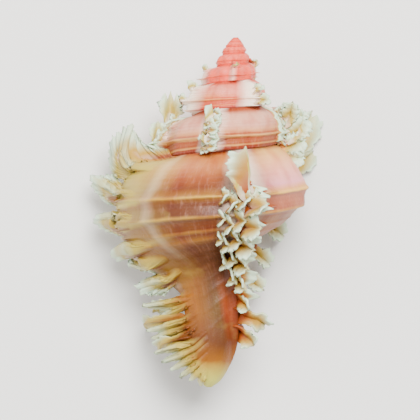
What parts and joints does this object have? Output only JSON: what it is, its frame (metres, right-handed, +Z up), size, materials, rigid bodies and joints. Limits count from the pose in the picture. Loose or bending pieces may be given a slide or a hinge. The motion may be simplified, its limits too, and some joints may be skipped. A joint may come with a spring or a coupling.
{
  "type": "murex shell",
  "caption": "Spiral sea shell with a stepped spire, ridged whorls, branching fronds, an open mouth below and a long slit canal.",
  "frame": {"origin": "centre of the shell's box at floor level, the shell lying mouth down on three frond tips", "axes": "+Y along the coiling axis towards the apex, +Z up through the back of the shell, +X to the right of the back view"},
  "size_m": [0.0494, 0.0774, 0.0437],
  "materials": {
    "shell": "satin natural shell, salmon spire, peach and tan bands, pale frond tips"
  },
  "bodies": {
    "root": {"murex_shell": "shell"}
  },
  "joints": []
}
